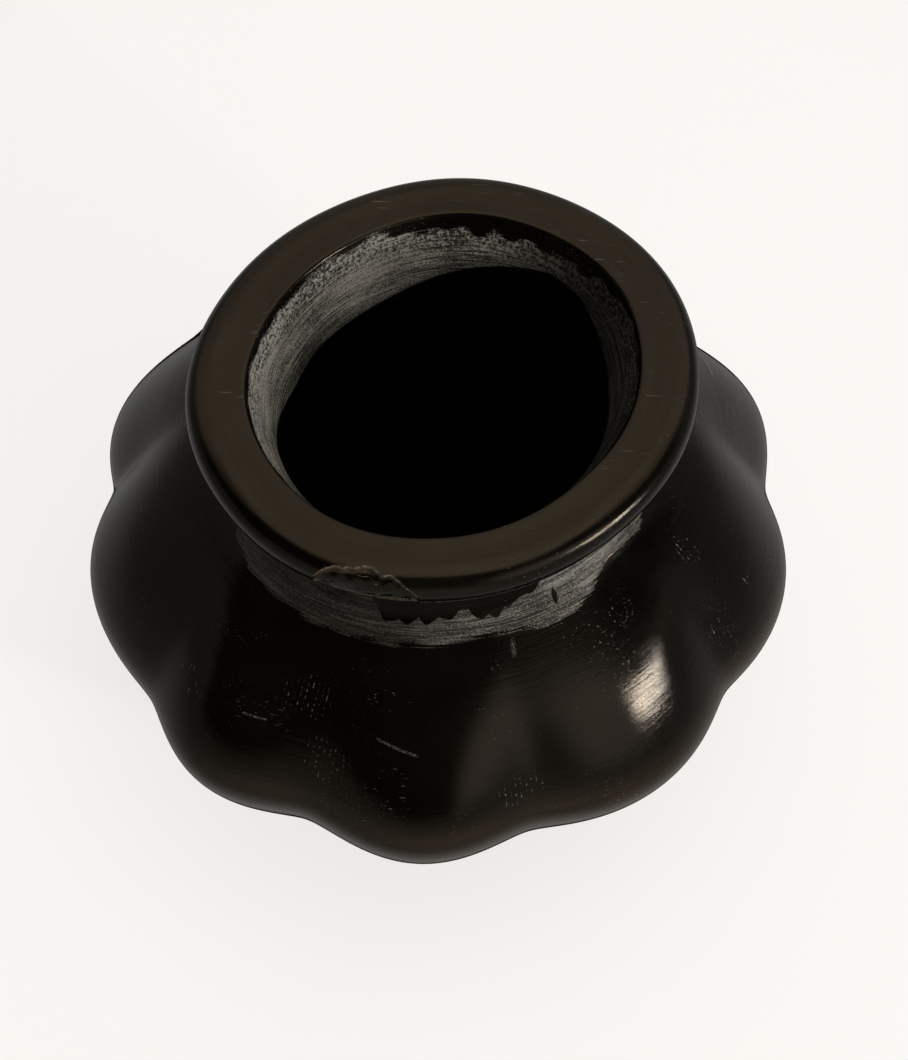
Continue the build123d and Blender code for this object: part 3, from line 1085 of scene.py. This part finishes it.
def soft_lamp(name, place, width, height, power, colour, tilt=0.0, mirrored=True):
    """Oval lamp that looks at the jar. One that is not mirrored lights the clay but leaves no glint on it."""
    data = bpy.data.lights.new(name, "AREA")
    data.shape = "ELLIPSE"
    data.size = width
    data.size_y = height
    data.energy = power
    data.color = colour
    lamp = bpy.data.objects.new(name, data)
    bpy.context.scene.collection.objects.link(lamp)
    lamp.location = place
    aim = (Vector(JAR_MIDDLE) - Vector(place)).to_track_quat("-Z", "Y").to_matrix()
    lamp.rotation_euler = (aim @ Matrix.Rotation(math.radians(tilt), 3, "Z")).to_euler()
    lamp.visible_glossy = mirrored


soft_lamp("overhead_soft", round_jar(-50.0, 67.0), 1.2, 1.2, power=3.6, colour=WARM, mirrored=False)
soft_lamp("key_soft", round_jar(-38.0, 13.0), 0.07, 0.07, power=7.0, colour=WARM, mirrored=False)
soft_lamp("window_soft", round_jar(-24.0, 4.6), 0.50, 0.050, power=9.0, colour=COOL, tilt=-15.0)


# World: pale paper low down, a bright back and ceiling, and in front a dim room with a glow at its right

BACK_TONE = (0.90, 0.87, 0.81)
FRONT_TONE = (0.045, 0.043, 0.040)
GLOW_TONE = (1.25, 1.27, 1.30)
GLOW_TOWARDS = (0.677, -0.726, 0.122)
GLOW_EDGES = (0.90, 0.995)


def make_world():
    world = bpy.data.worlds.new("studio")
    bpy.context.scene.world = world
    tree = Tree(world)
    towards = tree.add("ShaderNodeTexCoord").outputs["Generated"]
    _, away, upward = tree.add("ShaderNodeSeparateXYZ", {0: towards}).outputs
    bright_back = tree.times(tree.ramp(away, 0.15, 0.50), tree.ramp(upward, 0.10, 0.20))
    bright = tree.larger(bright_back, tree.ramp(upward, 0.76, 0.84))
    low_down = tree.math("SUBTRACT", 1.0, tree.ramp(upward, 0.112, 0.130))
    paper = tree.times(tree.ramp(away, -0.30, -0.16), low_down)
    tone = tree.blend(paper, FRONT_TONE, FAR_TONE)
    tone = tree.blend(bright, tone, BACK_TONE)
    near_glow = tree.add("ShaderNodeVectorMath", {0: towards, 1: GLOW_TOWARDS}, operation="DOT_PRODUCT")
    tone = tree.blend(tree.ramp(near_glow.outputs["Value"], *GLOW_EDGES), tone, GLOW_TONE)
    sky = tree.add("ShaderNodeBackground", {"Color": tone})
    out = tree.add("ShaderNodeOutputWorld")
    tree.links.new(sky.outputs[0], out.inputs["Surface"])


make_world()

# Camera, fitted to the photograph's view of the rim and the outline: angles, then places in metres

VIEW_UP = math.radians(57.76)
VIEW_ROLL = math.radians(-1.27)
VIEW_REACH = 0.5491  # from the middle of the rim's top
VIEW_SIDE = -0.002143  # that middle lies this far right of the view's axis
VIEW_RISE = 0.027523  # and this far above it
IMAGE_HEIGHT = 1060
FOCAL_PIXELS = 3200.0

forward = Vector((0, math.cos(VIEW_UP), -math.sin(VIEW_UP)))
level_right = Vector((1, 0, 0))
level_up = Vector((0, math.sin(VIEW_UP), math.cos(VIEW_UP)))
right = math.cos(VIEW_ROLL) * level_right - math.sin(VIEW_ROLL) * level_up
upward = math.sin(VIEW_ROLL) * level_right + math.cos(VIEW_ROLL) * level_up
rim_middle = Vector((0, 0, HEIGHT * MM))
eye = rim_middle - VIEW_SIDE * right - VIEW_RISE * upward - VIEW_REACH * forward

camera_data = bpy.data.cameras.new("camera")
camera_data.sensor_fit = "VERTICAL"
camera_data.sensor_height = 24.0
camera_data.lens = FOCAL_PIXELS / IMAGE_HEIGHT * camera_data.sensor_height
camera_data.clip_start = 0.01
camera = bpy.data.objects.new("camera", camera_data)
bpy.context.scene.collection.objects.link(camera)
turned = Matrix((right, upward, -forward)).transposed().to_4x4()
camera.matrix_world = Matrix.Translation(eye) @ turned
bpy.context.scene.camera = camera

bpy.context.scene.view_settings.view_transform = "Standard"
